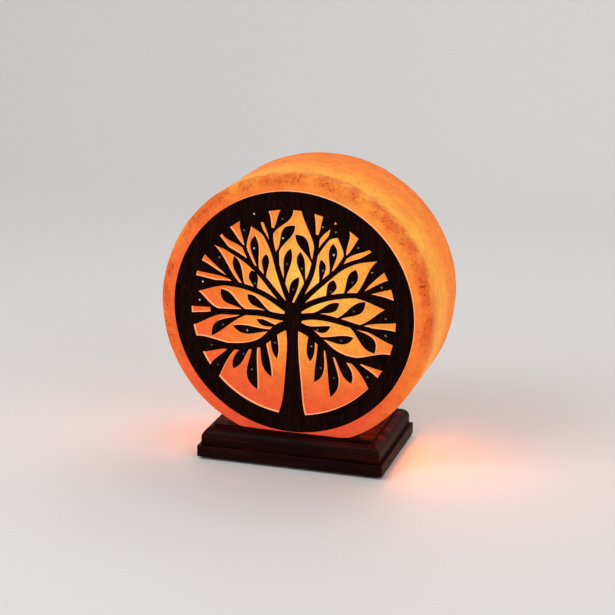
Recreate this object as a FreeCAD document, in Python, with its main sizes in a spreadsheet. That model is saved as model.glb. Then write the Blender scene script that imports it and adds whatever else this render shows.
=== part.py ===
import FreeCAD, Part
import math
import os
import re
import Sketcher
from FreeCAD import Placement, Rotation, Vector

# Salt crystal lamp, in millimetres. X is to the right, the carved front looks along -Y, Z is up.
# The origin is on the table, under the middle of the plinth.

doc = FreeCAD.newDocument("salt_crystal_lamp")

# ---------------------------------------------------------------- driving dimensions

SIZES = {
    # salt drum, standing on a flat cut in its rim
    "drum_radius": 95,
    "drum_depth": 84,
    "drum_flat": 9.6,
    "drum_edge": 6,
    "drum_shift": 4,
    "bore_radius": 26,
    "bore_depth": 128,
    "bore_round": 8,
    # cut-out wooden disc on the drum's face
    "panel_margin": 11,
    "ring_width": 12.5,
    "panel_thick": 3,
    "crystal_radius": 1.05,
    "crystal_tall": 0.9,
    "crystal_top": 0.5,
    # plinth, from the bottom up
    "foot_radius": 7,
    "foot_thick": 2,
    "foot_inset": 11,
    "slab_wide": 132,
    "slab_deep": 94,
    "slab_tall": 8,
    "slab_ease": 0.8,
    "ledge": 2.5,
    "side_tall": 5,
    "ovolo": 7,
    "ovolo_round": 6.99,
    "lip_tall": 2,
    # cord hole at the back of the plinth
    "cord_radius": 3.2,
    "cord_level": 13,
    "grommet_wall": 1.1,
    "grommet_flange": 1.8,
    "grommet_flange_thick": 1.4,
    "grommet_deep": 9,
    "cord_seat": 7,
    # plate under the plinth
    "plate_thick": 2,
    "plate_recess": 4,
    "plate_land": 10,
    "plate_gap": 0.5,
    "screw_radius": 1.5,
    "screw_head": 3.2,
    "screw_head_tall": 1.7,
    "screw_length": 12,
    "screw_tip": 4.5,
    "screw_point": 0.3,
    "screw_slot_wide": 0.75,
    "screw_slot_deep": 0.85,
    "screw_gap": 0.1,
    # hollow stem and what clamps it
    "tube_radius": 5,
    "tube_wall": 1.2,
    "tube_length": 59.4,
    "tube_proud": 0.4,
    "tube_short": 1,
    "wire_hole": 2.4,
    "nut_flats": 14,
    "nut_tall": 3,
    "washer_radius": 9,
    "washer_thick": 1,
    "thread_gap": 0.05,
    # lampholder
    "holder_radius": 13.5,
    "holder_wall": 1.6,
    "cap_collar": 7.5,
    "cap_collar_tall": 7,
    "cap_tall": 14,
    "cap_shoulder": 2,
    "cap_flare": 1.5,
    "cap_floor": 2.5,
    "shell_tall": 28,
    "shell_mouth": 8.6,
    "block_tall": 11,
    "block_lip": 1,
    "block_gap": 0.1,
    "well_radius": 6,
    "well_deep": 4,
    "contact_sunk": 1,
    "grub_radius": 1.5,
    "grub_level": 3,
    "grub_proud": 0.2,
    "grub_slot": 1,
    "terminal_wide": 4.4,
    "terminal_deep": 5,
    "terminal_tall": 5,
    "terminal_place": 6.8,
    "terminal_screw": 1.2,
    "terminal_head": 1.8,
    "terminal_head_tall": 1.4,
    "terminal_shank": 4,
    "terminal_slot_wide": 0.6,
    "terminal_slot_deep": 0.7,
    "contact_strip": 0.5,
    "contact_wide": 4,
    "strip_foot": 4.5,
    "strip_heel": 1.5,
    "strip_bend": 2,
    # bulb with an E14 cap
    "thread_radius": 6.95,
    "thread_pitch": 2.82,
    "thread_deep": 0.5,
    "thread_play": 0.15,
    "brass": 0.4,
    "contact_gap": 0.2,
    "turn_gap": 0.1,
    "tip_radius": 2.3,
    "tip_tall": 1.7,
    "insulator_tall": 1.9,
    "bulb_cap_tall": 16.4,
    "bulb_flare": 8,
    "flare_tall": 2,
    "flare_lip": 1,
    "bulb_radius": 14,
    "bulb_straight": 11,
    "bulb_cone": 11.8,
    "neck_radius": 5.8,
    "neck_deep": 5,
    "glass_wall": 0.6,
    "stem_radius": 2.6,
    "stem_tall": 10,
    "stem_rod": 1,
    "stem_rod_tall": 10,
    "stem_button": 1.5,
    "filament_clear": 1,
    "filament_reach": 6.5,
    "filament_rise": 2.5,
    "filament_coil": 0.35,
    "lead_wire": 0.3,
}

sheet = doc.addObject("Spreadsheet::Sheet", "sizes")
for row, (alias, number) in enumerate(SIZES.items(), start=1):
    sheet.set(f"A{row}", alias)
    sheet.set(f"B{row}", str(number))
    sheet.setAlias(f"B{row}", alias)
doc.recompute()


# ---------------------------------------------------------------- drawing helpers

def bound(text):
    """An expression on the spreadsheet: drum_radius becomes sizes.drum_radius, functions stay."""
    return re.sub(r"\b([a-z][a-z_]*)\b(?!\()", r"sizes.\1", str(text))


def value(text):
    """What such an expression comes to now, in millimetres."""
    return float(sheet.evalExpression(bound(text)))


def new_body(label):
    body = doc.addObject("PartDesign::Body", label)
    body.Label = label
    return body


def origin_part(body, role):
    return [part for part in body.Origin.OriginFeatures if part.Role == role][0]


def new_sketch(body, name, plane, shift):
    """An empty sketch on one of the body's own planes, shifted along its own x, y and normal."""
    sketch = body.newObject("Sketcher::SketchObject", name)
    sketch.AttachmentSupport = [(origin_part(body, plane), "")]
    sketch.MapMode = "FlatFace"
    for axis, distance in zip("xyz", shift):
        sketch.setExpression(f"AttachmentOffset.Base.{axis}", bound(distance))
    return sketch


def tie(sketch, kind, places, expression, name):
    """A dimension of the sketch, bound to the spreadsheet."""
    number = sketch.addConstraint(Sketcher.Constraint(kind, *places, value(expression)))
    sketch.renameConstraint(number, name)
    sketch.setExpression(f"Constraints.{name}", bound(expression))


def arc_edge(start, end, radius):
    """The short arc between two points. It bulges to the left of the way, or right if radius < 0."""
    half = (end - start).Length / 2
    rise = abs(radius) - math.sqrt(max(radius * radius - half * half, 0))
    along = (end - start).normalize()
    left = Vector(-along.y, along.x, 0) * math.copysign(rise, radius)
    return Part.Arc(start, (start + end) / 2 + left, end)


def outline(body, name, plane, corners, shift=(0, 0, 0)):
    """A closed sketch. A corner is (x, y), or (x, y, radius) where an arc leads to the next one."""
    sketch = new_sketch(body, name, plane, shift)
    spots = [Vector(value(corner[0]), value(corner[1]), 0) for corner in corners]
    following = spots[1:] + spots[:1]
    edges = []
    for corner, start, end in zip(corners, spots, following):
        if len(corner) == 3:
            arc = arc_edge(start, end, value(corner[2]))
            number = sketch.addGeometry(arc, False)
            begins = 1 if (sketch.getPoint(number, 1) - start).Length < 1e-6 else 2
            tie(sketch, "Radius", (number,), f"abs({corner[2]})", f"radius_{len(edges)}")
        else:
            number = sketch.addGeometry(Part.LineSegment(start, end), False)
            begins = 1
        edges.append((number, begins))
    for (number, begins), (before, began) in zip(edges, edges[-1:] + edges[:-1]):
        sketch.addConstraint(Sketcher.Constraint("Coincident", before, 3 - began, number, begins))
    for index, (corner, (number, begins)) in enumerate(zip(corners, edges)):
        tie(sketch, "DistanceX", (-1, 1, number, begins), corner[0], f"across_{index}")
        tie(sketch, "DistanceY", (-1, 1, number, begins), corner[1], f"up_{index}")
    return sketch


def circle(body, name, plane, radius, shift=(0, 0, 0)):
    """A sketch of one circle round the sketch's own origin."""
    sketch = new_sketch(body, name, plane, shift)
    number = sketch.addGeometry(Part.Circle(Vector(0, 0, 0), Vector(0, 0, 1), value(radius)), False)
    sketch.addConstraint(Sketcher.Constraint("Coincident", number, 3, -1, 1))
    tie(sketch, "Radius", (number,), radius, "radius")
    return sketch


def rectangle(wide, deep):
    """The corners of a rectangle round the sketch's origin."""
    right, far = f"({wide}) / 2", f"({deep}) / 2"
    return [(f"-{right}", f"-{far}"), (right, f"-{far}"), (right, far), (f"-{right}", far)]


def feature(body, kind, name, sketch, **settings):
    """A pad, pocket, revolution or groove of a sketch. Lengths are given as expressions."""
    made = body.newObject("PartDesign::" + kind, name)
    made.Profile = sketch
    for key, setting in settings.items():
        if key in ("Length", "Length2"):
            made.setExpression(key, bound(setting))
        else:
            setattr(made, key, setting)
    doc.recompute()
    return made


def lathe(body, kind, name, corners, plane="XZ_Plane", axis="V_Axis", shift=(0, 0, 0)):
    """Turns a half outline round the sketch's axis, to add (Revolution) or to cut (Groove)."""
    sketch = outline(body, name + "_outline", plane, corners, shift)
    return feature(body, kind, name, sketch, ReferenceAxis=(sketch, [axis]), Angle=360)


def turned(label, corners):
    """A piece turned in one go round the lamp's upright axis."""
    body = new_body(label)
    lathe(body, "Revolution", label + "_turning", corners)
    return body


def round_edges(body, kind, name, base, wanted, reach):
    """Fillets or chamfers the edges of a feature that the test picks."""
    names = [f"Edge{i}" for i, edge in enumerate(base.Shape.Edges, start=1) if wanted(edge)]
    made = body.newObject("PartDesign::" + kind, name)
    made.Base = (base, names)
    made.setExpression("Radius" if kind == "Fillet" else "Size", bound(reach))
    doc.recompute()
    return made


def round_pattern(body, name, features, count):
    """Repeats features round the lamp's upright axis."""
    pattern = body.newObject("PartDesign::PolarPattern", name)
    pattern.Originals = features
    pattern.Axis = (origin_part(body, "Z_Axis"), [""])
    pattern.Angle = 360
    pattern.Occurrences = count
    body.Tip = pattern
    doc.recompute()
    return pattern


def shaped(label, shape, place=None):
    """A piece whose shape is worked out here, from sizes read from the sheet."""
    piece = doc.addObject("Part::Feature", label)
    piece.Label = label
    piece.Shape = shape
    if place:
        piece.Placement = place
    return piece


def at_level(edge, level):
    """Is the whole edge at this height?"""
    return edge.BoundBox.ZLength < 1e-4 and abs(edge.BoundBox.ZMin - level) < 1e-4


# ---------------------------------------------------------------- levels, all from the table up

UNDERSIDE = "foot_thick"
SLAB_TOP = f"({UNDERSIDE} + slab_tall)"
OVOLO_TOP = f"({SLAB_TOP} + side_tall + ovolo)"
PLINTH_TOP = f"({OVOLO_TOP} + lip_tall)"
DRUM_CENTRE = f"({PLINTH_TOP} + drum_radius - drum_flat)"
DRUM_FRONT = "(drum_depth / 2 - drum_shift)"
PANEL_RADIUS = "(drum_radius - panel_margin)"
PLATE_BOTTOM = f"({UNDERSIDE} + plate_recess)"
PLATE_TOP = f"({PLATE_BOTTOM} + plate_thick)"
TUBE_BOTTOM = f"({PLATE_BOTTOM} - nut_tall - tube_proud)"
TUBE_TOP = f"({TUBE_BOTTOM} + tube_length)"
CAP_BOTTOM = f"({TUBE_TOP} - cap_collar_tall - tube_short)"
CAP_TOP = f"({CAP_BOTTOM} + cap_tall)"
SHELL_TOP = f"({CAP_TOP} + shell_tall)"
BLOCK_TOP = f"({CAP_TOP} + block_tall)"
TIP_BOTTOM = f"({BLOCK_TOP} - contact_sunk + contact_gap)"
INSULATOR_BOTTOM = f"({TIP_BOTTOM} + tip_tall + turn_gap)"
BULB_CAP_BOTTOM = f"({INSULATOR_BOTTOM} + insulator_tall)"
BULB_CAP_TOP = f"({BULB_CAP_BOTTOM} + bulb_cap_tall)"
NECK_BOTTOM = f"({BULB_CAP_TOP} - neck_deep)"
CONE_TOP = f"({BULB_CAP_TOP} + bulb_cone)"
STRAIGHT_TOP = f"({CONE_TOP} + bulb_straight)"

# ---------------------------------------------------------------- salt drum

drum = new_body("salt_drum")
drum_front = (0, DRUM_CENTRE, DRUM_FRONT)
wheel = feature(
    drum, "Pad", "wheel", circle(drum, "wheel_circle", "XZ_Plane", "drum_radius", drum_front),
    Length="drum_depth", Reversed=True,
)
round_edges(
    drum, "Fillet", "rims", wheel, lambda edge: edge.BoundBox.YLength < 1e-4, "drum_edge",
)
seat = outline(
    drum, "seat_outline", "XZ_Plane",
    [("-drum_radius", UNDERSIDE), ("drum_radius", UNDERSIDE),
     ("drum_radius", PLINTH_TOP), ("-drum_radius", PLINTH_TOP)],
)
feature(drum, "Pocket", "seat", seat, Length="2 * drum_depth", Midplane=True)
BORE_TOP = f"({PLINTH_TOP} + bore_depth)"
bore = lathe(
    drum, "Groove", "bore",
    [("0", UNDERSIDE), ("bore_radius", UNDERSIDE), ("bore_radius", BORE_TOP), ("0", BORE_TOP)],
)
round_edges(
    drum, "Fillet", "bore_end", bore, lambda edge: at_level(edge, value(BORE_TOP)), "bore_round",
)

# ---------------------------------------------------------------- plinth

plinth = new_body("plinth")
slab = feature(
    plinth, "Pad", "slab",
    outline(plinth, "slab_outline", "XY_Plane", rectangle("slab_wide", "slab_deep"), (0, 0, UNDERSIDE)),
    Length="slab_tall",
)
round_edges(
    plinth, "Fillet", "slab_eased", slab,
    lambda edge: not at_level(edge, value(UNDERSIDE)), "slab_ease",
)
moulding = feature(
    plinth, "Pad", "moulding",
    outline(
        plinth, "moulding_outline", "XY_Plane",
        rectangle("slab_wide - 2 * ledge", "slab_deep - 2 * ledge"), (0, 0, SLAB_TOP),
    ),
    Length="side_tall + ovolo",
)
round_edges(
    plinth, "Fillet", "quarter_round", moulding,
    lambda edge: at_level(edge, value(OVOLO_TOP)), "ovolo_round",
)
feature(
    plinth, "Pad", "top_step",
    outline(
        plinth, "top_outline", "XY_Plane",
        rectangle("slab_wide - 2 * (ledge + ovolo)", "slab_deep - 2 * (ledge + ovolo)"),
        (0, 0, OVOLO_TOP),
    ),
    Length="lip_tall",
)
REBATE_RADIUS = "(bore_radius + plate_land)"
lathe(
    plinth, "Groove", "well",
    [("0", UNDERSIDE), (REBATE_RADIUS, UNDERSIDE), (REBATE_RADIUS, PLATE_TOP),
     ("bore_radius", PLATE_TOP), ("bore_radius", PLINTH_TOP), ("0", PLINTH_TOP)],
)
CORD_LEVEL = f"({UNDERSIDE} + cord_level)"
SLAB_BACK = "(slab_deep / 2)"
SEAT_BACK = f"({SLAB_BACK} - cord_seat)"
CORD_HOLE = "(cord_radius + grommet_wall + screw_gap)"
SPOT_FACE = "(cord_radius + grommet_wall + grommet_flange + screw_gap)"
WITHIN_WELL = "(bore_radius / 2)"
lathe(
    plinth, "Groove", "cord_hole",
    [(WITHIN_WELL, 0), (SLAB_BACK, 0), (SLAB_BACK, SPOT_FACE), (SEAT_BACK, SPOT_FACE),
     (SEAT_BACK, CORD_HOLE), (WITHIN_WELL, CORD_HOLE)],
    plane="YZ_Plane", axis="H_Axis", shift=(0, CORD_LEVEL, 0),
)
SCREW_PLACE = "(bore_radius + plate_land / 2)"
pilot = lathe(
    plinth, "Groove", "pilot_hole",
    [("0", PLATE_TOP), ("screw_radius", PLATE_TOP),
     ("screw_radius", f"{PLATE_BOTTOM} + screw_length"), ("0", f"{PLATE_BOTTOM} + screw_length")],
    shift=(SCREW_PLACE, 0, 0),
)
PLATE_SCREWS = 3
round_pattern(plinth, "pilot_holes", [pilot], PLATE_SCREWS)

# ---------------------------------------------------------------- feet

corners = [(side, front) for side in (-1, 1) for front in (-1, 1)]
pads = []
for number, (side, front) in enumerate(corners):
    pad = doc.addObject("Part::Cylinder", f"foot_{number}")
    pad.setExpression("Radius", bound("foot_radius"))
    pad.setExpression("Height", bound("foot_thick"))
    pad.setExpression("Placement.Base.x", bound(f"{side} * (slab_wide / 2 - foot_inset)"))
    pad.setExpression("Placement.Base.y", bound(f"{front} * (slab_deep / 2 - foot_inset)"))
    pads.append(pad)
feet = doc.addObject("Part::Compound", "feet")
feet.Links = pads

# ---------------------------------------------------------------- cord grommet

grommet = new_body("cord_grommet")
GROMMET_OUT = f"({SEAT_BACK} + grommet_flange_thick)"
lathe(
    grommet, "Revolution", "grommet_turning",
    [(f"{GROMMET_OUT} - grommet_deep", "cord_radius"), (GROMMET_OUT, "cord_radius"),
     (GROMMET_OUT, "cord_radius + grommet_wall + grommet_flange"),
     (SEAT_BACK, "cord_radius + grommet_wall + grommet_flange"),
     (SEAT_BACK, "cord_radius + grommet_wall"),
     (f"{GROMMET_OUT} - grommet_deep", "cord_radius + grommet_wall")],
    plane="YZ_Plane", axis="H_Axis", shift=(0, CORD_LEVEL, 0),
)

# ---------------------------------------------------------------- access plate and its screws

plate = new_body("access_plate")
PLATE_RADIUS = f"({REBATE_RADIUS} - plate_gap)"
TUBE_HOLE = "tube_radius + thread_gap"
lathe(
    plate, "Revolution", "disc",
    [(TUBE_HOLE, PLATE_BOTTOM), (PLATE_RADIUS, PLATE_BOTTOM),
     (PLATE_RADIUS, PLATE_TOP), (TUBE_HOLE, PLATE_TOP)],
)
HEAD_TOP = f"({PLATE_BOTTOM} + screw_head_tall)"
sunk_hole = lathe(
    plate, "Groove", "sunk_hole",
    [("0", PLATE_BOTTOM), ("screw_head + screw_gap", PLATE_BOTTOM),
     ("screw_radius + screw_gap", HEAD_TOP), ("screw_radius + screw_gap", PLATE_TOP),
     ("0", PLATE_TOP)],
    shift=(SCREW_PLACE, 0, 0),
)
round_pattern(plate, "sunk_holes", [sunk_hole], PLATE_SCREWS)


def wood_screw():
    """A countersunk wood screw, head down, with a straight slot and a tapered tip."""
    head = Part.makeCone(value("screw_head"), value("screw_radius"), value("screw_head_tall"))
    straight = value("screw_length - screw_head_tall - screw_tip")
    shank = Part.makeCylinder(
        value("screw_radius"), straight, Vector(0, 0, value("screw_head_tall")),
    )
    tip = Part.makeCone(
        value("screw_radius"), value("screw_point"), value("screw_tip"),
        Vector(0, 0, value("screw_length - screw_tip")),
    )
    slot = Part.makeBox(
        value("2 * screw_head"), value("screw_slot_wide"), value("screw_slot_deep"),
        Vector(-value("screw_head"), -value("screw_slot_wide / 2"), 0),
    )
    return head.fuse([shank, tip]).cut(slot).removeSplitter()


screws = []
for number in range(PLATE_SCREWS):
    screw = wood_screw()
    screw.translate(Vector(value(SCREW_PLACE), 0, value(PLATE_BOTTOM)))
    screw.rotate(Vector(0, 0, 0), Vector(0, 0, 1), 360 / PLATE_SCREWS * number)
    screws.append(screw)
shaped("plate_screws", Part.makeCompound(screws))

# ---------------------------------------------------------------- hollow stem, nuts and washer

tube = new_body("riser_tube")
TUBE_BORE = "tube_radius - tube_wall"
lathe(
    tube, "Revolution", "tube_turning",
    [(TUBE_BORE, TUBE_BOTTOM), ("tube_radius", TUBE_BOTTOM),
     ("tube_radius", TUBE_TOP), (TUBE_BORE, TUBE_TOP)],
)
feature(
    tube, "Pocket", "wire_hole",
    circle(tube, "wire_hole_circle", "XZ_Plane", "wire_hole", (0, CORD_LEVEL, 0)),
    Length="2 * tube_radius",
)


def hex_nut(label, bottom):
    """A hexagon nut on the stem, its corners turned down a little at both faces."""
    body = new_body(label)
    across = "nut_flats / sqrt(3)"
    hexagon = [
        ("nut_flats / 2", f"-{across} / 2"), ("nut_flats / 2", f"{across} / 2"), ("0", across),
        ("-nut_flats / 2", f"{across} / 2"), ("-nut_flats / 2", f"-{across} / 2"), ("0", f"-{across}"),
    ]
    blank = outline(body, label + "_hexagon", "XY_Plane", hexagon, (0, 0, bottom))
    feature(body, "Pad", label + "_blank", blank, Length="nut_tall")
    lathe(
        body, "Groove", label + "_bore",
        [("0", bottom), (TUBE_HOLE, bottom), (TUBE_HOLE, f"{bottom} + nut_tall"),
         ("0", f"{bottom} + nut_tall")],
    )
    return body


UPPER_NUT = f"({PLATE_TOP} + washer_thick)"
hex_nut("lower_stem_nut", f"({PLATE_BOTTOM} - nut_tall)")
hex_nut("upper_stem_nut", UPPER_NUT)
turned(
    "stem_washer",
    [(TUBE_HOLE, PLATE_TOP), ("washer_radius", PLATE_TOP),
     ("washer_radius", UPPER_NUT), (TUBE_HOLE, UPPER_NUT)],
)

# ---------------------------------------------------------------- lampholder

CAP_INSIDE = "(holder_radius - holder_wall - block_lip)"
SHELL_INSIDE = "(holder_radius - holder_wall)"
COLLAR_TOP = f"({CAP_BOTTOM} + cap_collar_tall)"
holder_cap = new_body("holder_cap")
lathe(
    holder_cap, "Revolution", "cap_turning",
    [(TUBE_HOLE, CAP_BOTTOM), ("cap_collar", CAP_BOTTOM),
     ("cap_collar", f"{COLLAR_TOP} - cap_shoulder"),
     ("holder_radius", f"{COLLAR_TOP} + cap_flare"), ("holder_radius", CAP_TOP),
     (CAP_INSIDE, CAP_TOP), (CAP_INSIDE, f"{COLLAR_TOP} + cap_floor"), (TUBE_HOLE, COLLAR_TOP)],
)
GRUB_LEVEL = f"({CAP_BOTTOM} + grub_level)"
feature(
    holder_cap, "Pocket", "grub_hole",
    circle(
        holder_cap, "grub_circle", "YZ_Plane", "grub_radius + thread_gap", (0, GRUB_LEVEL, 0),
    ),
    Length="2 * cap_collar", Reversed=True,
)

grub = new_body("grub_screw")
GRUB_END = "(cap_collar + grub_proud)"
lathe(
    grub, "Revolution", "grub_turning",
    [("tube_radius", 0), ("tube_radius", "grub_radius / 2"),
     ("tube_radius + grub_radius / 2", "grub_radius"), (GRUB_END, "grub_radius"),
     (GRUB_END, "grub_radius / 2"), (f"{GRUB_END} - grub_slot", "grub_radius / 2"),
     (f"{GRUB_END} - grub_slot", 0)],
    axis="H_Axis", shift=(0, GRUB_LEVEL, 0),
)

MOUTH_BOTTOM = f"({SHELL_TOP} - holder_wall)"
turned(
    "holder_shell",
    [(SHELL_INSIDE, CAP_TOP), ("holder_radius", CAP_TOP), ("holder_radius", SHELL_TOP),
     ("shell_mouth", SHELL_TOP), ("shell_mouth", MOUTH_BOTTOM), (CAP_INSIDE, MOUTH_BOTTOM),
     (CAP_INSIDE, BLOCK_TOP), (SHELL_INSIDE, BLOCK_TOP)],
)

block = new_body("contact_block")
BLOCK_RADIUS = f"({SHELL_INSIDE} - block_gap)"
WELL_FLOOR = f"({BLOCK_TOP} - well_deep)"
lathe(
    block, "Revolution", "block_turning",
    [("0", CAP_TOP), (BLOCK_RADIUS, CAP_TOP), (BLOCK_RADIUS, BLOCK_TOP),
     ("well_radius", BLOCK_TOP), ("well_radius", WELL_FLOOR), ("0", WELL_FLOOR)],
)

SOCKET_RADIUS = "(thread_radius + thread_play)"
turned(
    "screw_shell",
    [(SOCKET_RADIUS, BLOCK_TOP), (f"{CAP_INSIDE} - block_gap", BLOCK_TOP),
     (f"{CAP_INSIDE} - block_gap", f"{BLOCK_TOP} + brass"),
     (f"{SOCKET_RADIUS} + brass", f"{BLOCK_TOP} + brass"),
     (f"{SOCKET_RADIUS} + brass", f"{MOUTH_BOTTOM} - brass"),
     (SOCKET_RADIUS, f"{MOUTH_BOTTOM} - brass")],
)

contact = new_body("centre_contact")
SPRING_TOP = f"({TIP_BOTTOM} - contact_gap)"
strip = outline(
    contact, "strip_outline", "XZ_Plane",
    [("-strip_foot", WELL_FLOOR), ("-strip_heel", WELL_FLOOR),
     ("strip_bend", f"{SPRING_TOP} - contact_strip"),
     ("tip_radius", f"{SPRING_TOP} - contact_strip"), ("tip_radius", SPRING_TOP),
     ("strip_heel", SPRING_TOP), ("-strip_bend", f"{WELL_FLOOR} + contact_strip"),
     ("-strip_foot", f"{WELL_FLOOR} + contact_strip")],
)
feature(contact, "Pad", "strip", strip, Length="contact_wide", Midplane=True)

terminals = []
terminal_screws = []
for side in (-1, 1):
    wide, deep, tall = value("terminal_wide"), value("terminal_deep"), value("terminal_tall")
    middle = Vector(side * value("terminal_place"), 0, value(CAP_TOP) - tall / 2)
    block_shape = Part.makeBox(wide, deep, tall, middle - Vector(wide, deep, tall) / 2)
    front = middle - Vector(0, deep / 2, 0)
    hole = Part.makeCylinder(
        value("terminal_screw + thread_gap"), deep, front, Vector(0, 1, 0),
    )
    terminals.append(block_shape.cut(hole))
    shank = Part.makeCylinder(
        value("terminal_screw"), value("terminal_shank"), front, Vector(0, 1, 0),
    )
    head = Part.makeCylinder(
        value("terminal_head"), value("terminal_head_tall"), front, Vector(0, -1, 0),
    )
    slot = Part.makeBox(
        value("2 * terminal_head"), value("terminal_slot_deep"), value("terminal_slot_wide"),
        front - Vector(
            value("terminal_head"), value("terminal_head_tall"), value("terminal_slot_wide / 2"),
        ),
    )
    terminal_screws.append(head.fuse(shank).cut(slot).removeSplitter())
shaped("terminal_blocks", Part.makeCompound(terminals))
shaped("terminal_screws", Part.makeCompound(terminal_screws))

# ---------------------------------------------------------------- bulb

turned(
    "bulb_tip",
    [("0", TIP_BOTTOM), ("tip_radius / 2", TIP_BOTTOM),
     ("tip_radius", f"{TIP_BOTTOM} + tip_tall / 2"), ("tip_radius", f"{TIP_BOTTOM} + tip_tall"),
     ("0", f"{TIP_BOTTOM} + tip_tall")],
)

THREAD_ROOT = "(thread_radius - thread_deep)"
CAP_BORE = f"({THREAD_ROOT} - brass)"
turned(
    "bulb_insulator",
    [("0", INSULATOR_BOTTOM), ("tip_radius", INSULATOR_BOTTOM),
     (CAP_BORE, f"{BULB_CAP_BOTTOM} - brass"), (CAP_BORE, BULB_CAP_BOTTOM), ("0", BULB_CAP_BOTTOM)],
)

# Plain rings stand for the rolled thread. The three shares are of its pitch.
THREAD_TURNS = 4
FIRST_CREST = 0.8
CREST_HALF = 0.1
FOOT_HALF = 0.3
cap_profile = [(CAP_BORE, BULB_CAP_BOTTOM), (THREAD_ROOT, BULB_CAP_BOTTOM)]
for turn in range(THREAD_TURNS):
    crest = f"({BULB_CAP_BOTTOM} + {turn + FIRST_CREST} * thread_pitch)"
    cap_profile += [
        (THREAD_ROOT, f"{crest} - {FOOT_HALF} * thread_pitch"),
        ("thread_radius", f"{crest} - {CREST_HALF} * thread_pitch"),
        ("thread_radius", f"{crest} + {CREST_HALF} * thread_pitch"),
        (THREAD_ROOT, f"{crest} + {FOOT_HALF} * thread_pitch"),
    ]
cap_profile += [
    (THREAD_ROOT, f"{BULB_CAP_TOP} - flare_tall"),
    ("bulb_flare", f"{BULB_CAP_TOP} - flare_lip"),
    ("bulb_flare", BULB_CAP_TOP),
    ("bulb_flare - brass", BULB_CAP_TOP),
    ("bulb_flare - brass", f"{BULB_CAP_TOP} - flare_lip + brass / 2"),
    (CAP_BORE, f"{BULB_CAP_TOP} - flare_tall + brass / 2"),
]
turned("bulb_cap", cap_profile)

BULB_TOP = f"({STRAIGHT_TOP} + bulb_radius)"
INNER_RADIUS = "(bulb_radius - glass_wall)"
turned(
    "bulb_glass",
    [("neck_radius", NECK_BOTTOM), ("neck_radius", BULB_CAP_TOP), ("bulb_radius", CONE_TOP),
     ("bulb_radius", STRAIGHT_TOP, "-bulb_radius"), ("0", BULB_TOP),
     ("0", f"{BULB_TOP} - glass_wall", INNER_RADIUS), (INNER_RADIUS, STRAIGHT_TOP),
     (INNER_RADIUS, CONE_TOP),
     ("neck_radius - glass_wall", BULB_CAP_TOP), ("neck_radius - glass_wall", NECK_BOTTOM)],
)

STEM_TOP = f"({NECK_BOTTOM} + stem_tall)"
ROD_TOP = f"({STEM_TOP} + stem_rod_tall)"
stem = turned(
    "bulb_stem",
    [("0", NECK_BOTTOM), ("neck_radius - glass_wall", NECK_BOTTOM),
     ("neck_radius - glass_wall", f"{NECK_BOTTOM} + glass_wall"),
     ("stem_radius", f"{NECK_BOTTOM} + stem_radius"), ("stem_radius", STEM_TOP),
     ("stem_rod", f"{STEM_TOP} + stem_rod"), ("stem_rod", f"{ROD_TOP} - stem_rod"),
     ("stem_button", f"{ROD_TOP} - stem_rod / 2"), ("stem_button", ROD_TOP), ("0", ROD_TOP)],
)

FILAMENT_LEVEL = f"({ROD_TOP} + filament_clear)"
filament_end = Vector(value("filament_reach"), 0, value(FILAMENT_LEVEL))
filament_top = Vector(0, 0, value(f"{FILAMENT_LEVEL} + filament_rise"))
wires = []
for side in (-1, 1):
    foot = Vector(side * value("stem_radius / 2"), 0, value(f"{STEM_TOP} - stem_radius"))
    hook = Vector(side * filament_end.x, 0, filament_end.z - value("filament_coil"))
    wires.append(Part.makeCylinder(
        value("lead_wire"), (hook - foot).Length, foot, hook - foot,
    ))
shaped("bulb_lead_wires", Part.makeCompound([wire.cut(stem.Shape) for wire in wires]))

filament_arc = Part.Arc(
    Vector(-filament_end.x, 0, filament_end.z), filament_top, filament_end,
).toShape()
coil_round = Part.Wire(Part.makeCircle(
    value("filament_coil"), filament_arc.valueAt(filament_arc.FirstParameter),
    filament_arc.tangentAt(filament_arc.FirstParameter),
))
filament = Part.Wire(filament_arc).makePipeShell([coil_round], True, False)
shaped("bulb_filament", filament)

support_top = filament_top.z - value("filament_coil")
shaped("filament_support", Part.makeCylinder(
    value("lead_wire"), support_top - value(ROD_TOP), Vector(0, 0, value(ROD_TOP)),
))

# ---------------------------------------------------------------- tree panel

# The tree is drawn by eye, x to the right and y up from the ring's centre. Its places and widths
# are hundredths of the ring's inner radius, so that it grows with the ring.
RING_INSIDE = f"({PANEL_RADIUS} - ring_width)"
stretch = value(RING_INSIDE) / 100
NECK_AT = 0.35


def spot(place):
    return Vector(place[0] * stretch, place[1] * stretch, 0)


def curve_through(places):
    """A smooth edge through points, or a straight one between two."""
    if len(places) == 2:
        return Part.LineSegment(*places).toShape()
    curve = Part.BSplineCurve()
    curve.interpolate(places)
    return curve.toShape()


def bough(places, root_wide, end_wide):
    """A tapering bough along a line of points."""
    line = [spot(place) for place in places]
    left, right = [], []
    for number, point in enumerate(line):
        before = line[max(number - 1, 0)]
        after = line[min(number + 1, len(line) - 1)]
        along = (after - before).normalize()
        across = Vector(-along.y, along.x, 0)
        share = number / (len(line) - 1)
        half = (root_wide + (end_wide - root_wide) * share) * stretch / 2
        left.append(point + across * half)
        right.append(point - across * half)
    right.reverse()
    edges = [
        curve_through(left), Part.LineSegment(left[-1], right[0]).toShape(),
        curve_through(right), Part.LineSegment(right[-1], left[0]).toShape(),
    ]
    return Part.Face(Part.Wire(edges))


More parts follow.
